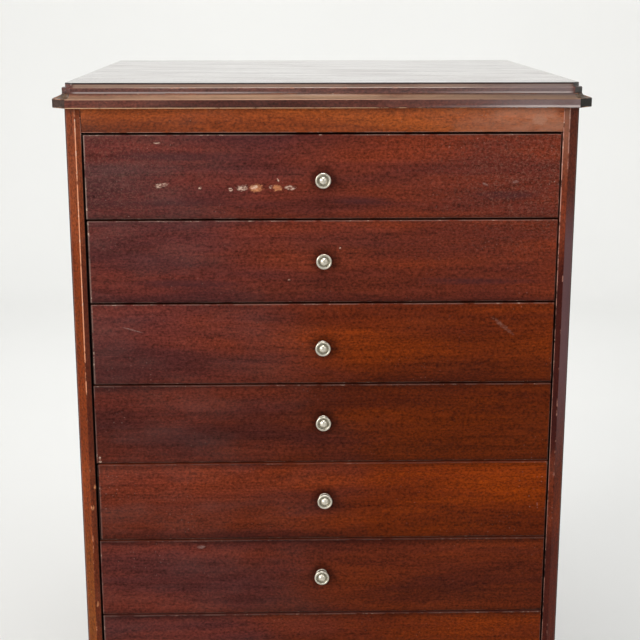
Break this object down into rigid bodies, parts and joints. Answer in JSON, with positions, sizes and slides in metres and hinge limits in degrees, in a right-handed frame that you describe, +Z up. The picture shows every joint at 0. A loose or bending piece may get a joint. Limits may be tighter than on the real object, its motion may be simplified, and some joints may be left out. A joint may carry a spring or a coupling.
{
  "type": "sheet music cabinet",
  "caption": "Narrow wooden cabinet with canted front corners, a moulded top, a bracket plinth and a stack of shallow sliding drawers with small metal knobs, for storing sheet music flat.",
  "frame": {"origin": "on the floor, under the middle of the outline", "axes": "+Z up, the drawers open towards -Y, +X to the viewer's right from the front"},
  "size_m": [0.5204, 0.4536, 0.8758],
  "materials": {
    "case_mahogany": "polished varnish",
    "top_mahogany": "high polish",
    "drawer_mahogany": "polished varnish",
    "drawer_oak": "bare, aged",
    "runner_oak": "bare, waxed",
    "carcass_pine": "bare, aged",
    "knob_nickel": "aged plating",
    "screw_steel": "dull"
  },
  "bodies": {
    "case": {"left_side": "case_mahogany", "right_side": "case_mahogany", "top_rail": "case_mahogany", "bottom_rail": "case_mahogany", "back_rail": "carcass_pine", "bottom_board": "carcass_pine", "back_boards": "carcass_pine", "cornice_front": "case_mahogany", "cornice_corners": "case_mahogany", "cornice_sides": "case_mahogany", "cornice_back": "carcass_pine", "top_board": "top_mahogany", "plinth_front": "case_mahogany", "plinth_corners": "case_mahogany", "plinth_sides": "case_mahogany", "plinth_back": "carcass_pine", "glue_blocks": "carcass_pine", "left_runners": "runner_oak", "right_runners": "runner_oak", "wood_screws": "screw_steel"},
    "drawer_1": {"drawer_1_front": "drawer_mahogany", "drawer_1_sides": "drawer_oak", "drawer_1_back": "drawer_oak", "drawer_1_bottom": "drawer_oak", "drawer_1_knob": "knob_nickel"},
    "drawer_2": {"drawer_2_front": "drawer_mahogany", "drawer_2_sides": "drawer_oak", "drawer_2_back": "drawer_oak", "drawer_2_bottom": "drawer_oak", "drawer_2_knob": "knob_nickel"},
    "drawer_3": {"drawer_3_front": "drawer_mahogany", "drawer_3_sides": "drawer_oak", "drawer_3_back": "drawer_oak", "drawer_3_bottom": "drawer_oak", "drawer_3_knob": "knob_nickel"},
    "drawer_4": {"drawer_4_front": "drawer_mahogany", "drawer_4_sides": "drawer_oak", "drawer_4_back": "drawer_oak", "drawer_4_bottom": "drawer_oak", "drawer_4_knob": "knob_nickel"},
    "drawer_5": {"drawer_5_front": "drawer_mahogany", "drawer_5_sides": "drawer_oak", "drawer_5_back": "drawer_oak", "drawer_5_bottom": "drawer_oak", "drawer_5_knob": "knob_nickel"},
    "drawer_6": {"drawer_6_front": "drawer_mahogany", "drawer_6_sides": "drawer_oak", "drawer_6_back": "drawer_oak", "drawer_6_bottom": "drawer_oak", "drawer_6_knob": "knob_nickel"},
    "drawer_7": {"drawer_7_front": "drawer_mahogany", "drawer_7_sides": "drawer_oak", "drawer_7_back": "drawer_oak", "drawer_7_bottom": "drawer_oak", "drawer_7_knob": "knob_nickel"},
    "drawer_8": {"drawer_8_front": "drawer_mahogany", "drawer_8_sides": "drawer_oak", "drawer_8_back": "drawer_oak", "drawer_8_bottom": "drawer_oak", "drawer_8_knob": "knob_nickel"}
  },
  "joints": [
    {"name": "drawer_1_slide", "type": "slide", "parent": "case", "child": "drawer_1", "axis": [0, -1, 0], "range_m": [0, 0.3]},
    {"name": "drawer_2_slide", "type": "slide", "parent": "case", "child": "drawer_2", "axis": [0, -1, 0], "range_m": [0, 0.3]},
    {"name": "drawer_3_slide", "type": "slide", "parent": "case", "child": "drawer_3", "axis": [0, -1, 0], "range_m": [0, 0.3]},
    {"name": "drawer_4_slide", "type": "slide", "parent": "case", "child": "drawer_4", "axis": [0, -1, 0], "range_m": [0, 0.3]},
    {"name": "drawer_5_slide", "type": "slide", "parent": "case", "child": "drawer_5", "axis": [0, -1, 0], "range_m": [0, 0.3]},
    {"name": "drawer_6_slide", "type": "slide", "parent": "case", "child": "drawer_6", "axis": [0, -1, 0], "range_m": [0, 0.3]},
    {"name": "drawer_7_slide", "type": "slide", "parent": "case", "child": "drawer_7", "axis": [0, -1, 0], "range_m": [0, 0.3]},
    {"name": "drawer_8_slide", "type": "slide", "parent": "case", "child": "drawer_8", "axis": [0, -1, 0], "range_m": [0, 0.3]}
  ]
}
